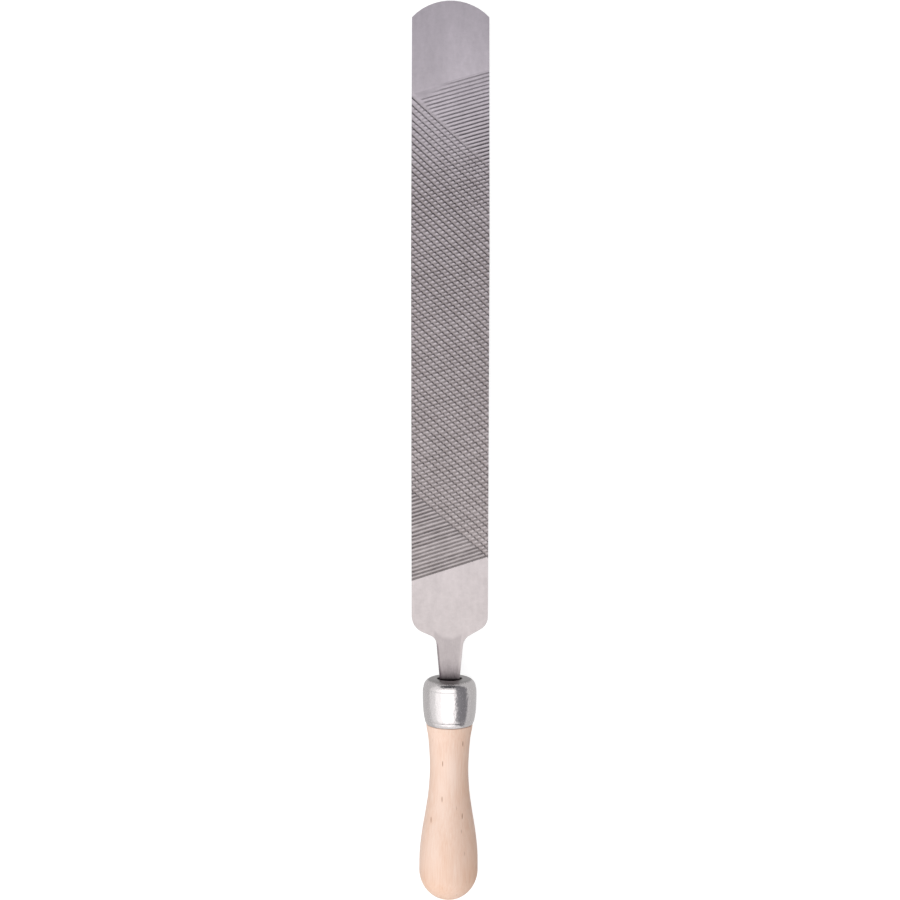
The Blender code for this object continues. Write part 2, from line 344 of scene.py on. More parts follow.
upcut = FadingStrokes(
    count=125, heel=(-65.9, 0.320), tip=(206.4, 0.285),
    depth=UPCUT_DEPTH, crest=0.56, wander=0.06,
)
overcut = Strokes(
    count=54, heel=(-40.9, -0.868), tip=(178.4, -0.915),
    depth=OVERCUT_DEPTH, crest=0.76, wander=0.12,
)
for strokes in (upcut, overcut):
    print(len(strokes.depth) - 2, "strokes, up to", round(float(strokes.depth.max()), 3), "mm deep")

# %% Slice the face along every stroke
LOW_ON_SLOPE = 0.20         # the overcut's third slice, as a share of the way to the next stroke
COLUMN_WIDTH = 2.3          # lengthwise slices, so that a long stroke can waver
COLUMNS_EACH_SIDE = 9

open_up(front)
pick_faces(front, lambda face: face.normal.z < 0.3)
bpy.ops.mesh.hide(unselected=False)
lines = upcut.lines(0)[1:] + upcut.lines(upcut.crest)
lines += overcut.lines(0)[1:] + overcut.lines(overcut.crest) + overcut.lines(LOW_ON_SLOPE)[1:]
for height, slope in lines:
    slice_all((0, height, 0), (-slope, 1, 0))
for column in np.arange(-COLUMNS_EACH_SIDE, COLUMNS_EACH_SIDE + 1) * COLUMN_WIDTH:
    slice_all((column, 0, 0), (1, 0, 0))
put_down()
print(len(lines), "slices made", len(front.data.polygons), "faces")

# %% [markdown]
# Now every point of the face is sunk by the deeper of the two cuts at its place, a little more
# or less, and strays a little along the blade, as chisel and steel leave it. A sculpting brush
# could do this too, but here every groove keeps its known depth. The lower rim of the chamfer
# is pushed down where a groove runs out over it, so that the grooves are open at both ends. How
# deep each point lies is kept as an attribute, which the steel's finish reads to darken the
# grooves, partly with painted shade and partly with oil and dirt.

# %% Sink the face
FACE_Z = 2.8
CHAMFER = 0.5
NEAR = 0.01                 # a point this close to a height counts as at it
GRIT = 0.03                 # the roughness left on every slope
WOBBLE = 0.12               # how far a stroke strays along the blade
WOBBLE_SIZE = 2.6
WOBBLE_LAYER = 7.5
UNEVEN = 0.14               # the share by which its depth comes and goes
UNEVEN_SIZE = 1.9
UNEVEN_LAYER = 0.5
LIP = 0.12                  # the chamfer's rim stays at least this far below the face
LEAST_SHOWN = 0.05          # the depth given to a crest, to tell it from plain steel


def clouds(points, size, layer):
    """Return smooth noise between about -1 and 1 at each place on the blade."""
    return np.array([noise.noise(Vector((x / size, y / size, layer))) for x, y, z in points])


points = np.empty(len(front.data.vertices) * 3)
front.data.vertices.foreach_get("co", points)
points = points.reshape(-1, 3)
sunk = np.maximum(
    upcut.sunk(points[:, 0], points[:, 1]), overcut.sunk(points[:, 0], points[:, 1])
)
first_line = upcut.middle[1] + upcut.slope[1] * points[:, 0]
last_line = upcut.middle[-2] + upcut.slope[-2] * points[:, 0]
in_teeth = (points[:, 1] > first_line) & (points[:, 1] < last_line)
sunk = sunk * (1 + UNEVEN * clouds(points, UNEVEN_SIZE, UNEVEN_LAYER))
sunk = sunk + np.where(in_teeth, chance.uniform(0, GRIT, len(points)), 0)
on_face = points[:, 2] > FACE_Z - NEAR
on_rim = np.abs(points[:, 2] - (FACE_Z - CHAMFER)) < NEAR
points[on_face, 2] -= sunk[on_face]
straying = on_face & in_teeth
points[straying, 1] += WOBBLE * clouds(points[straying], WOBBLE_SIZE, WOBBLE_LAYER)
points[on_rim, 2] = np.minimum(points[on_rim, 2], FACE_Z - sunk[on_rim] - LIP)
front.data.vertices.foreach_set("co", points.ravel())

shown_depth = np.maximum(sunk, np.where(in_teeth, LEAST_SHOWN, 0))
depth_of_point = np.where(on_face | on_rim, shown_depth / DEEPEST, 0)
front.data.attributes.new("sunk", "FLOAT", "POINT").data.foreach_set("value", depth_of_point)
front.data.update()
print("deepest point", round(float(sunk[on_face].max()), 2), "mm below the face")

# %% [markdown]
# ## The whole blade
#
# The back has the same teeth as the front. A mirrored copy would lean its teeth the wrong way
# across the blade, so the front half is turned over about the blade's length instead. The heel
# and the two halves are joined and their seams merged. Two slivers are left in the seam, where
# the chamfer is not quite the same left and right, and they are filled.
#
# The count of open edges is not zero. The lengthwise slices of each toothed half end on the
# heel's long straight edge, which has no points to meet them. Nothing gapes there, because the
# slices end exactly on that edge, but the body is not joined along it, front or back. Slicing
# the heel along the same columns would join it.

# %% Turn a copy over, join and close
SEAM = 0.004                # points of two halves this close together are one point
SLIVER_SIDES = 4

back = copy_of(front, "back")
back.data.transform(Matrix.Rotation(math.pi, 4, "Y"))

take(heel)
front.select_set(True)
back.select_set(True)
bpy.ops.object.join()
blade = heel
blade.name = "blade_with_teeth"
blade.data.name = blade.name

open_up(blade)
bpy.ops.mesh.select_all(action="SELECT")
bpy.ops.mesh.remove_doubles(threshold=SEAM)
bpy.ops.mesh.fill_holes(sides=SLIVER_SIDES)
bpy.ops.mesh.select_all(action="SELECT")
bpy.ops.mesh.quads_convert_to_tris(quad_method="BEAUTY", ngon_method="BEAUTY")
put_down()
print("blade:", len(blade.data.polygons), "faces,", open_edges(blade), "open edges")

# %% [markdown]
# Turned pieces want smooth shading everywhere but at their creases. The blade is all flat
# faces, and a tooth's slope leans only a few degrees from the face, so there an edge counts as
# sharp almost at once: otherwise the big flat face would be shaded as if it bent at the teeth.

# %% Shade the blade and lay it on the bench
SHARP = math.radians(28)
BLADE_SHARP = math.radians(6)


def finish_shape(piece, sharp=SHARP):
    """Shade a drawn piece, move it to the bench and let it ride with the file."""
    open_up(piece)
    bpy.ops.mesh.select_all(action="SELECT")
    bpy.ops.mesh.normals_make_consistent(inside=False)
    put_down()
    bpy.ops.object.shade_smooth_by_angle(angle=sharp)
    piece.data.transform(drawing_to_bench)
    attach(piece, "root")
    print(piece.name, "laid on the bench, sharp over", round(math.degrees(sharp)), "degrees")


finish_shape(blade, sharp=BLADE_SHARP)
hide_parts("file_blade")

# %% [markdown]
# ## The ferrule
#
# The ferrule is a cup drawn from thin steel: a flat top with a hole for the tang, a rounded
# shoulder, a wall that swells slightly and then tapers, and a rim that is rolled in to grip the
# handle's spigot. A Screw modifier could sweep its profile around the axis. Here it is drawn as
# it would be spun instead: one ring of points, extruded, resized and moved on along the axis to
# each station of its profile, out to the rim and back up the inside. That way each ring can be
# seen to follow from the last, and the same helper turns the handle.

# %% Draw a turned piece ring by ring
SIDES = 96
SAME_RING = 0.001           # the first and last rings of a wall are merged when this close


def turned(name, rings, hollow):
    """Make a turned piece from (radius, y) stations, closed into a wall or at its two ends."""
    bpy.ops.object.select_all(action="DESELECT")
    radius, y = rings[0]
    bpy.ops.mesh.primitive_circle_add(
        vertices=SIDES, radius=radius, location=(0, y, 0), rotation=(math.pi / 2, 0, 0)
    )
    piece = bpy.context.active_object
    piece.name = name
    piece.data.name = name
    bpy.ops.object.transform_apply(location=True, rotation=True, scale=True)
    bpy.ops.object.mode_set(mode="EDIT")
    bpy.ops.mesh.select_mode(type="VERT")
    for next_radius, next_y in rings[1:]:
        bpy.ops.mesh.extrude_edges_move(TRANSFORM_OT_translate={"value": (0, next_y - y, 0)})
        growth = next_radius / radius
        bpy.ops.transform.resize(value=(growth, 1, growth), center_override=(0, next_y, 0))
        radius, y = next_radius, next_y
    bpy.ops.mesh.select_all(action="SELECT")
    if hollow:
        bpy.ops.mesh.remove_doubles(threshold=SAME_RING)
    else:
        bpy.ops.mesh.fill_holes(sides=0)
    put_down()
    print(name, len(piece.data.polygons), "faces,", open_edges(piece), "open edges")
    return piece


# %% Draw profiles: smooth curves, arcs and a profile's own inside
def smooth_through(stations, steps):
    """Return stations on a smooth curve through the given ones."""
    ends = [Vector(station) for station in [stations[0], *stations, stations[-1]]]
    found = []
    for before, start, end, after in zip(ends, ends[1:], ends[2:], ends[3:]):
        for step in range(steps):
            t = step / steps
            found.append(
                start
                + (end - before) * (t / 2)
                + (before * 2 - start * 5 + end * 4 - after) * (t**2 / 2)
                + (start * 3 - end * 3 + after - before) * (t**3 / 2)
            )
    return [tuple(station) for station in found] + [tuple(ends[-1])]


def rounded(centre, radius, start, end, steps):
    """Return stations on an arc: 0 degrees points away from the axis, 90 to the tip."""
    angles = [math.radians(start + (end - start) * i / steps) for i in range(steps + 1)]
    return [
        (centre[0] + radius * math.cos(angle), centre[1] + radius * math.sin(angle))
        for angle in angles
    ]


def moved_in(stations, distance):
    """Return a profile moved towards the axis by its own normals."""
    found = []
    for i, station in enumerate(stations):
        before = Vector(stations[max(i - 1, 0)])
        after = Vector(stations[min(i + 1, len(stations) - 1)])
        heading = (after - before).normalized()
        found.append((station[0] + heading.y * distance, station[1] - heading.x * distance))
    return found


# %% The ferrule
FERRULE_TOP_Y = -128.7
FERRULE_WALL = 1.0
HOLE_RADIUS = 7.1
HOLE_ROUNDING = 0.4
SHOULDER_RADIUS = 5.0
SHOULDER_HALF_WIDTH = 14.8
FERRULE_SIDE = [
    (15.08, -134.6), (15.19, -137.4), (15.12, -141.6), (14.85, -146.4), (14.32, -150.4),
]
CREASE = [(14.14, -150.9), (13.88, -151.1), (13.86, -151.25)]
ROLLED_RIM = [
    (14.06, -151.5), (13.96, -152.1), (13.72, -152.8), (13.40, -153.5), (13.20, -153.9),
]
RIM_END_WALL = 0.15         # the wall thins out to this at the very end of the rim

hole_rim = rounded(
    (HOLE_RADIUS + HOLE_ROUNDING, FERRULE_TOP_Y - HOLE_ROUNDING), HOLE_ROUNDING, 180, 90, 4
)
shoulder = rounded(
    (SHOULDER_HALF_WIDTH - SHOULDER_RADIUS, FERRULE_TOP_Y - SHOULDER_RADIUS),
    SHOULDER_RADIUS, 90, 0, 12,
)
side = smooth_through([shoulder[-1], *FERRULE_SIDE], 4)
outside = shoulder + side[1:] + CREASE + ROLLED_RIM
inside = moved_in(shoulder + side[1:] + ROLLED_RIM[-1:], FERRULE_WALL)
inside[-1] = (ROLLED_RIM[-1][0] - RIM_END_WALL, ROLLED_RIM[-1][1])
inner_rim = (HOLE_RADIUS, FERRULE_TOP_Y - FERRULE_WALL)
rings = hole_rim + outside + inside[::-1] + [inner_rim, hole_rim[0]]

ferrule = turned("ferrule_spun", rings, hollow=True)
finish_shape(ferrule)
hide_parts("ferrule")

# %% [markdown]
# ## The handle
#
# The handle is turned from one piece of beech: a spigot that fills the ferrule, a small step,
# a slim neck, a full belly and a round butt. Only the body shows, but the spigot and the hole
# are there too, because they hold the tool together. It is drawn ring by ring like the ferrule,
# through a few measured stations with a smooth curve between them, and turned a touch askew, as
# it went on when it was driven home. Then the tapered hole for the tang is sunk. Rings can't
# make it, since it isn't round, so it is a Boolean with a tapered block.

# %% The handle
HANDLE_GAP = 0.3
STEP_RADIUS = 13.05
BELLY_RADIUS = 16.5
BUTT_Y = -OVERALL_LENGTH / 2
DOME_Y = BUTT_Y + BELLY_RADIUS
HANDLE_SIDE = [
    (12.80, -156.8), (11.70, -163.6), (10.83, -178.3), (11.50, -191.8), (13.10, -203.1),
    (15.00, -214.4), (16.26, -225.7), (BELLY_RADIUS, DOME_Y),
]
STEP_ROUNDING = 0.35
SPIGOT_FOOT = 1.0           # the spigot's side ends this far above the step
POLE = 3                    # the dome's last ring lies this many degrees from its pole
SKEW = math.radians(-0.3)
SKEW_PIVOT = Vector((0, -140, 0))

spigot = moved_in(outside, FERRULE_WALL + HANDLE_GAP)
step_y = ROLLED_RIM[-1][1] - HANDLE_GAP
spigot = [station for station in spigot if station[1] > step_y + SPIGOT_FOOT]
foot = (spigot[-1][0], step_y)
step_edge = rounded(
    (STEP_RADIUS - STEP_ROUNDING, step_y - STEP_ROUNDING), STEP_ROUNDING, 90, 0, 3
)
body = smooth_through([step_edge[-1], *HANDLE_SIDE], 8)
dome = rounded((0, DOME_Y), BELLY_RADIUS, 0, POLE - 90, 24)
rings = spigot + [foot] + step_edge + body[1:] + dome[1:]

handle = turned("handle_turned", rings, hollow=False)
to_pivot = Matrix.Translation(SKEW_PIVOT)
handle.data.transform(to_pivot @ Matrix.Rotation(SKEW, 4, "Z") @ to_pivot.inverted())

# %% Sink the tang's socket
SOCKET_MOUTH_Y = FERRULE_TOP_Y
SOCKET_FLOOR_Y = -173.0
SOCKET_MOUTH = (5.93, 2.65)         # half width and half thickness
SOCKET_FLOOR = (1.81, 1.78)

bpy.ops.object.select_all(action="DESELECT")
bpy.ops.mesh.primitive_cube_add(size=2, location=(0, (SOCKET_MOUTH_Y + SOCKET_FLOOR_Y) / 2, 0))
plug = bpy.context.active_object
plug.scale = (SOCKET_MOUTH[0], (SOCKET_MOUTH_Y - SOCKET_FLOOR_Y) / 2, SOCKET_MOUTH[1])
bpy.ops.object.transform_apply(location=True, rotation=True, scale=True)
open_up(plug)
pick_faces(plug, lambda face: face.normal.y < -0.5)
narrower = (SOCKET_FLOOR[0] / SOCKET_MOUTH[0], 1, SOCKET_FLOOR[1] / SOCKET_MOUTH[1])
bpy.ops.transform.resize(value=narrower, center_override=(0, SOCKET_FLOOR_Y, 0))
put_down()

take(handle)
bore = handle.modifiers.new("bore", "BOOLEAN")
bore.operation = "DIFFERENCE"
bore.solver = "EXACT"
bore.object = plug
bpy.ops.object.modifier_apply(modifier=bore.name)
bpy.data.objects.remove(plug)
print("bored handle:", len(handle.data.polygons), "faces,", open_edges(handle), "open edges")

finish_shape(handle)
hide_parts("handle")

# %% [markdown]
# ## Finishes
#
# A finish could be painted onto an unwrapped mesh. Every finish here is worked out from the
# piece's own millimetres instead, so that grinding lines, stains and grain lie where they would
# on the tool, keep their size and show no seam. A finish is written as arithmetic: a Wire
# carries one number through the shader, and a sum or product of wires adds the Math nodes for
# it.

# %% Arithmetic on wires
class Wire:
    """A number on its way through a finish: arithmetic on it adds Math nodes."""

    def __init__(self, finish, socket):
        self.finish = finish
        self.socket = socket

    def math(self, operation, first, second):
        """Add one Math node."""
        return self.finish.node("Math", {"operation": operation}, {0: first, 1: second})

    def __add__(self, other):
        return self.math("ADD", self, other)

    def __radd__(self, other):
        return self.math("ADD", other, self)

    def __sub__(self, other):
        return self.math("SUBTRACT", self, other)

    def __rsub__(self, other):
        return self.math("SUBTRACT", other, self)

    def __mul__(self, other):
        return self.math("MULTIPLY", self, other)

    def __rmul__(self, other):
        return self.math("MULTIPLY", other, self)

    def __truediv__(self, other):
        return self.math("DIVIDE", self, other)

    def __pow__(self, other):
        return self.math("POWER", self, other)

    def size(self):
        return self.math("ABSOLUTE", self, 0.0)

    def larger(self, other):
        return self.math("MAXIMUM", self, other)


# %% One finish and the patterns to draw it with
class Finish:
    """One material: its nodes, and the tool's own millimetres to draw patterns in."""

    def __init__(self, name):
        self.material = bpy.data.materials.new(name)
        self.material.use_nodes = True
        self.tree = self.material.node_tree
        self.tree.nodes.clear()
        bench_to_drawing = drawing_to_bench.inverted()
        place = self.node("TexCoord", output="Object")
        self.place = self.node(
            "Mapping",
            inputs={
                "Vector": place,
                "Location": bench_to_drawing.to_translation(),
                "Rotation": bench_to_drawing.to_euler(),
                "Scale": bench_to_drawing.to_scale(),
            },
        )
        self.x, self.y, self.z = (
            self.node("SeparateXYZ", inputs={0: self.place}, output=axis) for axis in "XYZ"
        )

    def node(self, kind, settings=None, inputs=None, output=0):
        """Add a node, set its settings and then its sockets, and return one output."""
        node = self.tree.nodes.new("ShaderNode" + kind)
        for name, value in (settings or {}).items():
            setattr(node, name, value)
        for name, value in (inputs or {}).items():
            if isinstance(value, Wire):
                self.tree.links.new(value.socket, node.inputs[name])
            else:
                node.inputs[name].default_value = value
        return Wire(self, node.outputs[output])

    def stretched(self, per_x, per_y, per_z):
        """Return the place with each axis in its own number of repeats a millimetre."""
        scale = {"Vector": self.place, "Scale": (per_x, per_y, per_z)}
        return self.node("Mapping", inputs=scale)

    def noise(self, place, scale=1.0, detail=2.0, roughness=0.5, distortion=0.0):
        """Return cloudy noise between 0 and 1."""
        inputs = {
            "Vector": place,
            "Scale": scale,
            "Detail": detail,
            "Roughness": roughness,
            "Distortion": distortion,
        }
        return self.node("TexNoise", inputs=inputs)

    def between(self, value, low, high, out_low=0.0, out_high=1.0):
        """Return how far a value has gone from low to high, on an even slope, clamped."""
        inputs = {0: value, 1: low, 2: high, 3: out_low, 4: out_high}
        return self.node("MapRange", {"clamp": True}, inputs)

    def soft_step(self, value, low, high):
        """Return 0 below low and 1 above high, with a smooth change between them."""
        settings = {"interpolation_type": "SMOOTHSTEP"}
        return self.node("MapRange", settings, {0: value, 1: low, 2: high, 3: 0.0, 4: 1.0})

    def blend(self, share, first, second):
        """Mix two colours."""
        settings = {"data_type": "RGBA"}
        return self.node("Mix", settings, {0: share, 6: first, 7: second}, output=2)

    def shade(self, colour, factor):
        """Darken or lighten a colour by a factor."""
        grey = self.node("CombineXYZ", inputs={0: factor, 1: factor, 2: factor})
        settings = {"data_type": "RGBA", "blend_type": "MULTIPLY"}
        return self.node("Mix", settings, {0: 1.0, 6: colour, 7: grey}, output=2)

    def bump(self, height, depth):
        """Return a normal from a height between 0 and 1, with its depth in millimetres."""
        inputs = {"Strength": 1.0, "Distance": depth * MILLIMETRE, "Height": height}
        return self.node("Bump", inputs=inputs)

    def surface(self, piece, constants, **inputs):
        """Add the shader, link what varies to it, and give the finish to a piece."""
        sockets = {name.replace("_", " "): value for name, value in inputs.items()}
        shader = self.node("BsdfPrincipled", inputs={**sockets, **constants})
        output = self.tree.nodes.new("ShaderNodeOutputMaterial")
        self.tree.links.new(shader.socket, output.inputs["Surface"])
        piece.data.materials.clear()
        piece.data.materials.append(self.material)
        print(self.material.name, "has", len(self.tree.nodes), "nodes")


def colour(red, green, blue):
    """Return a screen colour out of 255 as the light that a shader works in."""
    return (*(((part / 255 + 0.055) / 1.055) ** 2.4 for part in (red, green, blue)), 1.0)


# %% [markdown]
# ### File steel
#
# The plain parts of the blade are ground along their length, so they carry fine straight lines
# that are duller or brighter than each other, and stains from oil and fingers. A metal takes
# nearly all its look from what it reflects, so these only change its colour and roughness a
# little. Teeth are cut in bright steel, but the bottoms of the grooves are darkened in colour,
# partly as painted shade and partly by oil and dust: the attribute that was kept with the teeth
# says where. The teeth are also darkened towards the tip, as painted shade. The tang is left
# from the forge: it goes from ground grey to dark scale where it enters the ferrule, so that is
# measured along it, and where it goes into the ferrule's hole it is darkened with painted shade.

# %% The ground steel, with and without teeth
STEEL_AT_HEEL = colour(175, 167, 167)
STEEL_AT_TIP = colour(172, 165, 173)
# painted shade and dirt: the colour that the deepest parts of the grooves go to
GROOVE_SHADE_AND_DIRT = colour(104, 94, 92)
HEEL_END_Y = -100.0                 # between these two the steel's colour slowly changes
TIP_END_Y = 240.0
LINES_ALONG = (9.0, 0.12, 9.0)      # repeats a millimetre on each axis
LIGHTNESS = 0.865                   # before lines, clouds, stains and smudges change it
GROOVE_FROM = 0.32                  # shares of the deepest cut
GROOVE_TO = 0.95
TOOTHED_FROM_SUNK = 0.06            # all that is sunk more than this share is toothed
# how far the grooves go towards their painted shade and dirt
GROOVE_SHADE_AND_DIRT_SHARE = 0.72
# painted shade: the teeth darken towards the tip
TIP_PAINTED_SHADE = 0.17                # teeth are darker towards the tip, by this share at its end

steel = Finish("ground_file_steel")
grinding = steel.noise(steel.stretched(*LINES_ALONG), detail=3.0, roughness=0.6)
broad = steel.noise(steel.stretched(0.16, 0.05, 0.16), detail=2.0)
stain = steel.noise(steel.stretched(0.5, 0.32, 0.5), detail=4.0, roughness=0.62)
smudge = steel.noise(steel.stretched(0.22, 0.5, 0.22), detail=3.0, roughness=0.7, distortion=1.2)
lightness = LIGHTNESS + grinding * 0.13 + broad * 0.26 - stain * 0.20 + smudge * 0.16
sunk_here = steel.node("Attribute", {"attribute_name": "sunk"}, output="Fac")
in_groove = steel.between(sunk_here, GROOVE_FROM, GROOVE_TO)
in_teeth = steel.between(sunk_here, 0.0, TOOTHED_FROM_SUNK)
along_blade = steel.between(steel.y, HEEL_END_Y, TIP_END_Y)
ground = steel.shade(steel.blend(along_blade, STEEL_AT_HEEL, STEEL_AT_TIP), lightness)
# painted shade on the teeth, growing towards the tip
tip_painted_shade = in_teeth * along_blade * along_blade * TIP_PAINTED_SHADE
# the grooves darkened with painted shade and dirt
toothed = steel.shade(steel.blend(in_groove * GROOVE_SHADE_AND_DIRT_SHARE, ground, GROOVE_SHADE_AND_DIRT), 1 - tip_painted_shade)
print("steel is drawn with", len(steel.tree.nodes), "nodes so far")

# %% The tang's forge scale, and the finish put on the blade
TANG_SCALE = colour(100, 91, 95)
# painted shade where the tang goes into the ferrule's hole
HOLE_PAINTED_SHADE = colour(38, 33, 34)
ROOT_BEHIND = 105.6                 # the ground face ends this far behind the middle, ...
ROOT_CURVE = 0.055                  # ... in a shallow curve across the root of the tang
ROOT_HALF_WIDTH = 9.5               # beyond this the heel's own corners are still ground
SCALE_FROM = 111.0                  # distances behind the middle of the tool
SCALE_TO = 131.0
RIM_FROM = 107.0
RIM_TO = 111.0
HOLE_FROM = 128.1
HOLE_TO = 129.3
TANG_HALF_WIDTH = 7.75              # at the root, narrowing by the taper from there
TANG_ROOT_Y = -106.0
TANG_TAPER = 0.0932
STEEL_DULLNESS = 0.29
GRINDING_DEPTH = 0.012

behind = 0 - steel.y
below_curve = steel.x * steel.x * ROOT_CURVE - ROOT_BEHIND - steel.y
in_root = steel.soft_step(ROOT_HALF_WIDTH - steel.x.size(), 0.0, 1.5)
forged = steel.soft_step(below_curve, -1.2, 1.8) * in_root
tang = steel.between(behind, SCALE_FROM, SCALE_TO) ** 3.0
half_tang = TANG_HALF_WIDTH + (steel.y - TANG_ROOT_Y) * TANG_TAPER
left_rim = steel.soft_step(0 - steel.x - half_tang, -1.5, -0.5)
left_rim = left_rim * steel.soft_step(behind, RIM_FROM, RIM_TO)
right_rim = steel.soft_step(steel.x - half_tang, -1.7, -0.9) * forged
streaks = steel.noise(steel.stretched(2.2, 0.35, 2.2), detail=3.0, roughness=0.65)
scale_here = tang + (stain - 0.5) * 0.9 * tang + (streaks - 0.5) * (0.25 * forged + tang * 0.9)
scale_here = scale_here + forged * 0.20 + left_rim * 0.45 - right_rim * 0.20
scaled = steel.blend(steel.between(scale_here, 0.0, 1.0), toothed, TANG_SCALE)
# the tang's end darkened with painted shade at the ferrule's hole
coloured = steel.blend(steel.soft_step(behind, HOLE_FROM, HOLE_TO), scaled, HOLE_PAINTED_SHADE)
dull = STEEL_DULLNESS + grinding * 0.10 + stain * 0.06 + in_groove * 0.06
dull = dull + forged * 0.05 + tang * 0.10
steel.surface(
    blade,
    {"Metallic": 1.0},
    Base_Color=coloured,
    Roughness=dull,
    Normal=steel.bump(grinding * 0.5 + stain * 0.5, GRINDING_DEPTH),
)

# %% [markdown]
# ### Ferrule steel
#
# The ferrule is plated and polished, but never a perfect mirror: it is a little wavy from the
# spinning, with soft marks from handling. The waviness is what breaks up its reflections, and
# it is far too shallow to be worth modelling, so it is a bump. The flat top is duller than the
# side, since the polishing wheel doesn't reach it, and its colour is darkened as painted shade.

# %% The ferrule's finish
PLATE = colour(221, 216, 216)
PLATE_WAVES = 0.22
TOP_FROM_Y = -129.9
TOP_TO_Y = -129.0
# painted shade on the ferrule's flat top
TOP_PAINTED_SHADE = 0.42
TOP_DULLING = 0.15

plate = Finish("polished_plate")
marks = plate.noise(plate.stretched(0.9, 0.9, 0.9), detail=4.0, roughness=0.6)
waves = plate.noise(plate.stretched(0.45, 0.35, 0.45), detail=3.0)
rings_of_spinning = plate.noise(plate.stretched(0.02, 3.5, 0.02), detail=2.0)
flat_top = plate.soft_step(plate.y, TOP_FROM_Y, TOP_TO_Y)
# the flat top's colour is darkened with painted shade
plate.surface(
    ferrule,
    {"Metallic": 1.0},
    Base_Color=plate.shade(PLATE, (0.91 + marks * 0.15) * (1 - flat_top * TOP_PAINTED_SHADE)),
    Roughness=plate.between(marks, 0.3, 0.8, 0.16, 0.32) + flat_top * TOP_DULLING,
    Normal=plate.bump(waves * 0.75 + marks * 0.2 + rings_of_spinning * 0.1, PLATE_WAVES),
)

# %% [markdown]
# ### Beech
#
# Turned beech is pale and pinkish, close in the grain, and dotted with short dark flecks that
# lie along it, where the rays of the wood come to the surface. It has a thin clear lacquer,
# which only shows as a soft shine. Noise stretched along the handle gives the grain. The flecks
# are stretched cells, cut down to a dot at each cell's middle, and the five that stand out most
# are put in one by one. The wood yellows towards the butt, and its right side is darkened and
# warmed as painted shade. The end of the spigot, down in the ferrule's hole, is darkened with
# painted shade.

# %% The handle's finish
BEECH = colour(246, 220, 205)
BEECH_LATE = colour(226, 179, 147)
FLECK = colour(160, 108, 76)
# painted shade on the end of the spigot, down in the ferrule's hole
SPIGOT_END_SHADE = colour(46, 38, 34)
FRONT_FLECKS = [
    (7.4, -163.3), (-3.8, -174.0), (-4.1, -193.5), (7.1, -202.9), (-10.2, -205.4),
]
FLECK_HALF_WIDTH = 0.30
FLECK_HALF_LENGTH = 2.0
FRONT_FLECK_STRENGTH = 0.8
FLECK_STRENGTH = 0.5
FLECK_GONE = 0.12                   # distances from the middle of a cell, as shares of it
FLECK_FULL = 0.04
# where the spigot's painted shade starts and where it is full
SPIGOT_SHADE_FROM_Y = -135.3
SPIGOT_SHADE_TO_Y = -130.8
RIGHT_SIDE_PAINTED_SHADE_X = (3.0, 15.0)           # painted shade: the wood darkens and warms towards its right side ...
YELLOWING_BEHIND = (222.0, 252.0)   # ... and the wood yellows towards the butt
LACQUER_ROUGHNESS = 0.38
GRAIN_DEPTH = 0.03

wood = Finish("turned_beech")
grain = wood.noise(wood.stretched(1.4, 0.07, 1.4), detail=3.0, roughness=0.55, distortion=0.3)
fine = wood.noise(wood.stretched(7.0, 0.30, 7.0), detail=2.0)
cloud = wood.noise(wood.stretched(0.09, 0.03, 0.09), detail=2.0)
ray = wood.node(
    "TexVoronoi",
    {"feature": "F1"},
    {"Vector": wood.stretched(0.25, 0.06, 0.25), "Scale": 1.0, "Randomness": 1.0},
    output="Distance",
)
late = wood.between(grain * 0.55 + cloud * 0.45, 0.40, 0.68)
flecked = wood.between(ray, FLECK_GONE, FLECK_FULL) * FLECK_STRENGTH
for x, y in FRONT_FLECKS:
    across_fleck = (wood.x - x) / FLECK_HALF_WIDTH
    along_fleck = (wood.y - y) / FLECK_HALF_LENGTH
    reach = 1 - across_fleck * across_fleck - along_fleck * along_fleck
    shown = wood.soft_step(reach * wood.soft_step(wood.z, 0.0, 2.0), 0.0, 0.8)
    flecked = flecked.larger(shown * FRONT_FLECK_STRENGTH)
# painted shade on the spigot's end
spigot_end_shade = wood.soft_step(wood.y, SPIGOT_SHADE_FROM_Y, SPIGOT_SHADE_TO_Y)
# painted shade darkens and warms the right side; the wood itself yellows towards the butt
right_shade_and_butt_yellowing = wood.between(wood.x, *RIGHT_SIDE_PAINTED_SHADE_X) + wood.between(0 - wood.y, *YELLOWING_BEHIND) * 0.9
clean = wood.blend(late * 0.45 + fine * 0.25 + right_shade_and_butt_yellowing * 0.30, BEECH, BEECH_LATE)
# the spigot's end is darkened with painted shade
wood.surface(
    handle,
    {"Metallic": 0.0, "Specular IOR Level": 0.4},
    Base_Color=wood.blend(spigot_end_shade, wood.blend(flecked, clean, FLECK), SPIGOT_END_SHADE),
    Roughness=LACQUER_ROUGHNESS + fine * 0.14,
    Normal=wood.bump(fine * 0.6 + grain * 0.4, GRAIN_DEPTH),
)

# %% [markdown]
# ## The bench
#
# The file lies on a plain white bench. A big white sheet under soft lights would do, but one
# that is bright enough to look pure white throws so much light up at the file that the steel
# loses all form. So the bench is two planes. The upper one is what the eye sees: it glows
# white, still darkens where the file shades it, and is hidden from everything that the file
# reflects. The lower one is only there for the file: it throws back a weaker, even light.

# %% The bench and what it throws back
BENCH_HALF = 4.0
BENCH_GREY = 0.35
BENCH_ROUGHNESS = 0.9
BENCH_GLOW = 0.82
BOUNCE_GLOW = 0.65
BOUNCE_Z = -0.002


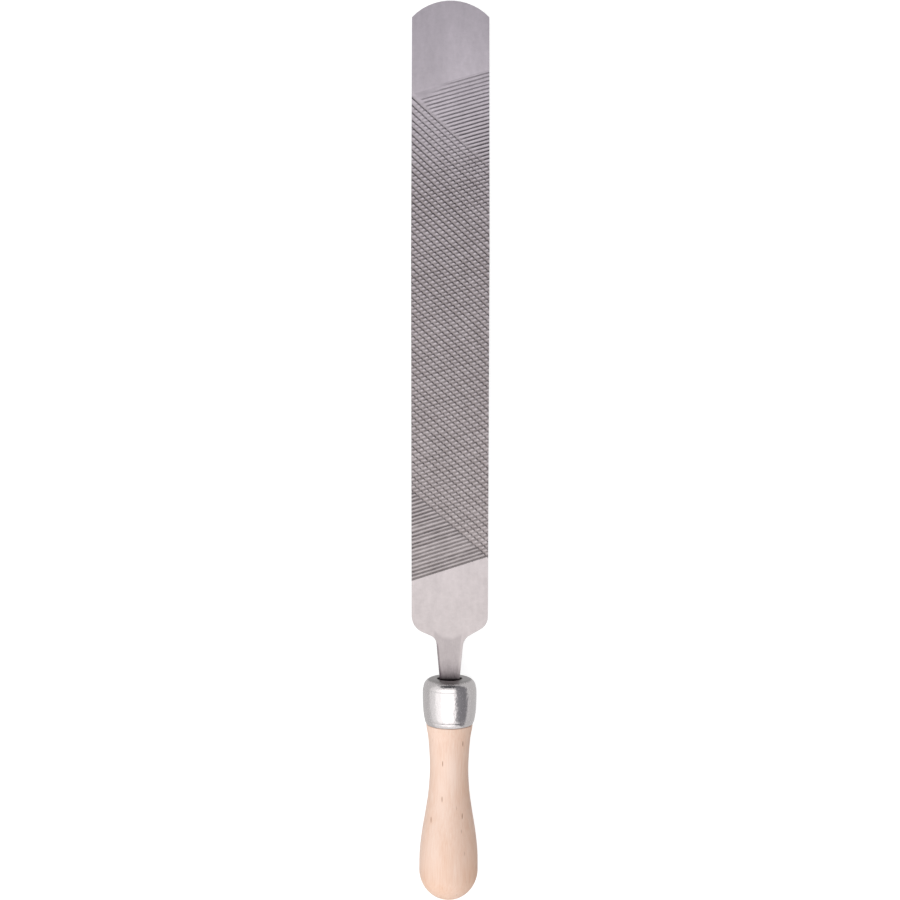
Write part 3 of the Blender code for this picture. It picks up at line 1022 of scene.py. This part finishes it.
def glowing_plane(name, paint_name, z, grey, glow, hidden_from):
    """Lay a matt plane that gives off an even white light, hidden from some kinds of ray."""
    bpy.ops.object.select_all(action="DESELECT")
    bpy.ops.mesh.primitive_plane_add(size=2 * BENCH_HALF, location=(0, 0, z))
    plane = bpy.context.active_object
    plane.name = name
    paint = bpy.data.materials.new(paint_name)
    paint.use_nodes = True
    shader = paint.node_tree.nodes["Principled BSDF"]
    shader.inputs["Base Color"].default_value = (grey, grey, grey, 1)
    shader.inputs["Roughness"].default_value = BENCH_ROUGHNESS
    shader.inputs["Specular IOR Level"].default_value = 0.0
    shader.inputs["Emission Color"].default_value = (1, 1, 1, 1)
    shader.inputs["Emission Strength"].default_value = glow
    plane.data.materials.append(paint)
    for ray in hidden_from:
        setattr(plane, "visible_" + ray, False)
    print(name, "glows", glow, "and is hidden from", " and ".join(hidden_from), "rays")


glowing_plane("bench", "white_bench", 0, BENCH_GREY, BENCH_GLOW, ("diffuse", "glossy"))
glowing_plane("bench_bounce", "bench_bounce", BOUNCE_Z, 0.0, BOUNCE_GLOW, ("camera", "shadow"))

# %% [markdown]
# ## The dark cards
#
# Bright steel shows only what is around it. In a white room a ferrule has no form, so dark cards
# stand just out of view. A grey one beyond the right edge draws the dark band down the ferrule's
# right side, and a nearly black one beyond the tip darkens the sides of the teeth that face it.
# They could be gaps between the lights, but a card can be moved without changing the light.

# %% Two dark cards
GREY_CARD = (0.27, 0.27, 0.29, 1)
BLACK_CARD = (0.10, 0.10, 0.11, 1)
UPRIGHT = math.radians(90)


def dark_card(name, paint, place, size, turn):
    """Stand a dark card that the camera doesn't see."""
    felt = bpy.data.materials.new(name)
    felt.use_nodes = True
    felt.node_tree.nodes["Principled BSDF"].inputs["Base Color"].default_value = paint
    felt.node_tree.nodes["Principled BSDF"].inputs["Roughness"].default_value = 1.0
    bpy.ops.object.select_all(action="DESELECT")
    bpy.ops.mesh.primitive_plane_add(size=1, location=place, rotation=turn)
    card = bpy.context.active_object
    card.name = name
    card.scale = (*size, 1)
    card.visible_camera = False
    card.data.materials.append(felt)
    print(name, "at", place, "metres")


dark_card("card_right", GREY_CARD, (0.50, 0.20, 0.54), (0.92, 1.90), (0, UPRIGHT, 0))
dark_card("card_beyond_tip", BLACK_CARD, (-0.15, 1.05, 0.60), (1.30, 1.00), (UPRIGHT, 0, 0))

# %% [markdown]
# ## The light
#
# Two broad soft lights and a white room. The stronger light hangs over the handle end, so that
# it shines into the teeth from behind and leaves their steep sides dark. The weaker one washes
# over the file from far out on the left, and keeps that side of the ferrule and handle bright.
# One lamp or the sun would be simpler, but steel would show it as a small hard glint.

# %% Two lights and the room
OVERHEAD = 0.70
WASH = 0.42
ROOM = 0.95


def area_light(name, place, size, brightness):
    """Hang an area light that faces down and is not seen itself."""
    lamp = bpy.data.lights.new(name, "AREA")
    lamp.shape = "RECTANGLE"
    lamp.size, lamp.size_y = size
    lamp.energy = brightness * math.pi * size[0] * size[1]
    light = bpy.data.objects.new(name, lamp)
    light.location = place
    light.visible_camera = False
    bpy.context.collection.objects.link(light)
    print(name, "gives", round(lamp.energy, 2), "watts")


area_light("overhead", (-0.17, -0.50, 1.20), (1.35, 2.10), OVERHEAD)
area_light("wash", (-1.55, -0.50, 1.20), (1.40, 2.10), WASH)

world = bpy.data.worlds.new("studio")
world.use_nodes = True
world.node_tree.nodes["Background"].inputs["Color"].default_value = (1, 1, 1, 1)
world.node_tree.nodes["Background"].inputs["Strength"].default_value = ROOM
bpy.context.scene.world = world
bpy.context.scene.view_settings.view_transform = "Standard"
bpy.context.scene.view_settings.look = "None"

# %% [markdown]
# ## The camera
#
# The camera looks straight down on the blade's face from over the middle of the tool, and is
# tilted as much as the file is, so that the blade isn't foreshortened. From farther away with a
# longer lens the tool would look flatter. From here the top of the ferrule still shows, as a
# narrow ellipse. The camera is turned by a hair about the line that it looks along.

# %% The camera
CAMERA_HEIGHT = 580.0               # over the blade's middle plane
CAMERA_LENS = 41.1
CAMERA_SENSOR = 36.0
CAMERA_NEAREST = 0.01
CAMERA_ROLL = math.radians(0.09)

lens = bpy.data.cameras.new("over_the_blade")
lens.lens = CAMERA_LENS
lens.sensor_width = CAMERA_SENSOR
lens.clip_start = CAMERA_NEAREST
camera = bpy.data.objects.new("over_the_blade", lens)
camera.location = drawing_to_bench @ Vector((0, 0, CAMERA_HEIGHT))
camera.rotation_euler = (tool_to_bench @ Matrix.Rotation(CAMERA_ROLL, 4, "Z")).to_euler()
bpy.context.collection.objects.link(camera)
bpy.context.scene.camera = camera
print("camera at", tuple(round(part, 4) for part in camera.location))
